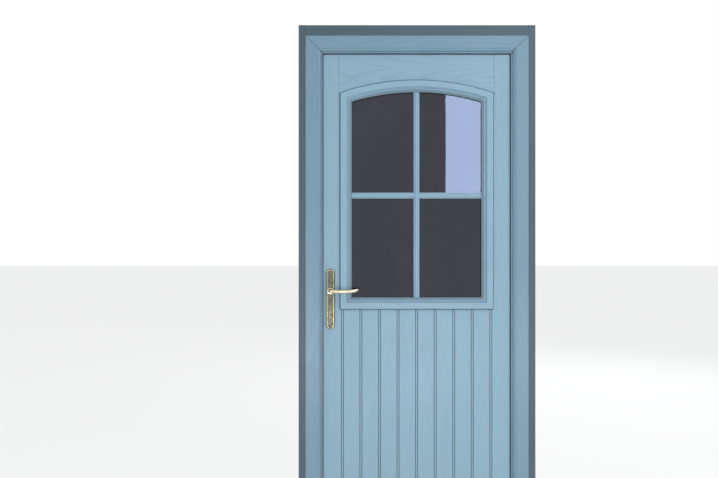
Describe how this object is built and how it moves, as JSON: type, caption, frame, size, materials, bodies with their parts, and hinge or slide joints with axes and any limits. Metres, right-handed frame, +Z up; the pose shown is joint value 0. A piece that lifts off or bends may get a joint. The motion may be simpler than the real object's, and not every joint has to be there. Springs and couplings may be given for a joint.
{
  "type": "half-glazed cottage entrance door in its frame",
  "caption": "Single-leaf entrance door in its frame, arched window with crossed glazing bars over a planked lower half, lever handle on a long plate.",
  "frame": {"origin": "the middle of the threshold's underside, half way through the frame's depth", "axes": "+Z up; +X to the right as seen from the street; +Y from the street into the room"},
  "size_m": [0.988, 0.141, 2.131],
  "materials": {
    "frame_foil": "foiled plastic, pale teal, faint grain",
    "leaf_paint": "moulded plastic skin, pale teal, wood grain",
    "timber": "laminated timber, bare",
    "foam": "rigid insulation foam",
    "glass": "clear float glass",
    "seal_rubber": "black rubber",
    "spacer": "black warm-edge spacer",
    "aluminium": "mill-finished extrusion",
    "brass": "polished and lacquered",
    "steel": "zinc-plated steel"
  },
  "bodies": {
    "frame": {"lock_jamb": "frame_foil", "hinge_jamb": "frame_foil", "frame_head": "frame_foil", "threshold": "aluminium", "weather_seal": "seal_rubber", "head_extension": "frame_foil", "lock_side_extension": "frame_foil", "hinge_side_extension": "frame_foil", "centre_keep": "steel", "upper_keep": "steel", "lower_keep": "steel", "hinge_pins": "steel", "bottom_hinge_frame_half": "steel", "middle_hinge_frame_half": "steel", "top_hinge_frame_half": "steel"},
    "leaf": {"outer_skin": "leaf_paint", "inner_skin": "leaf_paint", "foam_core": "foam", "bottom_edge_rail": "timber", "top_edge_rail": "timber", "hinge_stile": "timber", "lock_stile": "timber", "outer_cassette": "leaf_paint", "inner_cassette": "leaf_paint", "outer_pane": "glass", "inner_pane": "glass", "glazing_tapes": "seal_rubber", "spacer_bar": "spacer", "outer_glazing_bars": "leaf_paint", "inner_glazing_bars": "leaf_paint", "duplex_bars": "spacer", "outer_backplate": "brass", "inner_backplate": "brass", "cylinder_body": "brass", "centre_lock_case": "steel", "upper_lock_case": "steel", "lower_lock_case": "steel", "hook_pins": "steel", "lock_faceplate": "steel", "bottom_hinge_leaf_half": "steel", "middle_hinge_leaf_half": "steel", "top_hinge_leaf_half": "steel"},
    "lever": {"outer_lever": "brass", "inner_lever": "brass", "spindle": "steel", "spindle_follower": "steel"},
    "latch": {"latch_bolt": "steel"},
    "thumb": {"thumbturn": "brass"},
    "plug": {"outer_plug": "brass"},
    "bolt": {"dead_bolt": "steel"},
    "rail": {"drive_rail": "steel"},
    "hook_above": {"upper_hook": "steel"},
    "hook_below": {"lower_hook": "steel"}
  },
  "joints": [
    {"name": "leaf_swing", "type": "hinge", "parent": "frame", "child": "leaf", "pos_m": [0.409, 0.044, 1.0205], "axis": [0, 0, -1], "range_deg": [0, 95]},
    {"name": "lever_turn", "type": "hinge", "parent": "leaf", "child": "lever", "pos_m": [-0.362, 0.013, 1.022], "axis": [0, 1, 0], "range_deg": [0, 35], "stiffness_Nm_per_rad": 1.5, "springref_deg": -22.92},
    {"name": "latch_slide", "type": "slide", "parent": "leaf", "child": "latch", "axis": [1, 0, 0], "range_m": [0, 0.012]},
    {"name": "rail_slide", "type": "slide", "parent": "leaf", "child": "rail", "axis": [0, 0, 1], "range_m": [0, 0.02]},
    {"name": "thumb_turn", "type": "hinge", "parent": "leaf", "child": "thumb", "pos_m": [-0.362, 0.013, 0.93], "axis": [0, 1, 0], "range_deg": [0, 360]},
    {"name": "plug_turn", "type": "hinge", "parent": "leaf", "child": "plug", "pos_m": [-0.362, 0.013, 0.93], "axis": [0, 1, 0], "range_deg": [0, 360]},
    {"name": "bolt_slide", "type": "slide", "parent": "leaf", "child": "bolt", "axis": [-1, 0, 0], "range_m": [0, 0.02]},
    {"name": "upper_hook_turn", "type": "hinge", "parent": "leaf", "child": "hook_above", "pos_m": [-0.393, 0.013, 1.642], "axis": [0, -1, 0], "range_deg": [0, 90]},
    {"name": "lower_hook_turn", "type": "hinge", "parent": "leaf", "child": "hook_below", "pos_m": [-0.393, 0.013, 0.402], "axis": [0, -1, 0], "range_deg": [0, 90]}
  ],
  "couplings": [
    {"joint": "latch_slide", "follows": "lever_turn", "m_per_rad": 0.019644},
    {"joint": "thumb_turn", "follows": "rail_slide", "rad_per_m": 314.16},
    {"joint": "bolt_slide", "follows": "rail_slide", "ratio": 1},
    {"joint": "upper_hook_turn", "follows": "rail_slide", "rad_per_m": 78.54},
    {"joint": "lower_hook_turn", "follows": "rail_slide", "rad_per_m": 78.54}
  ]
}
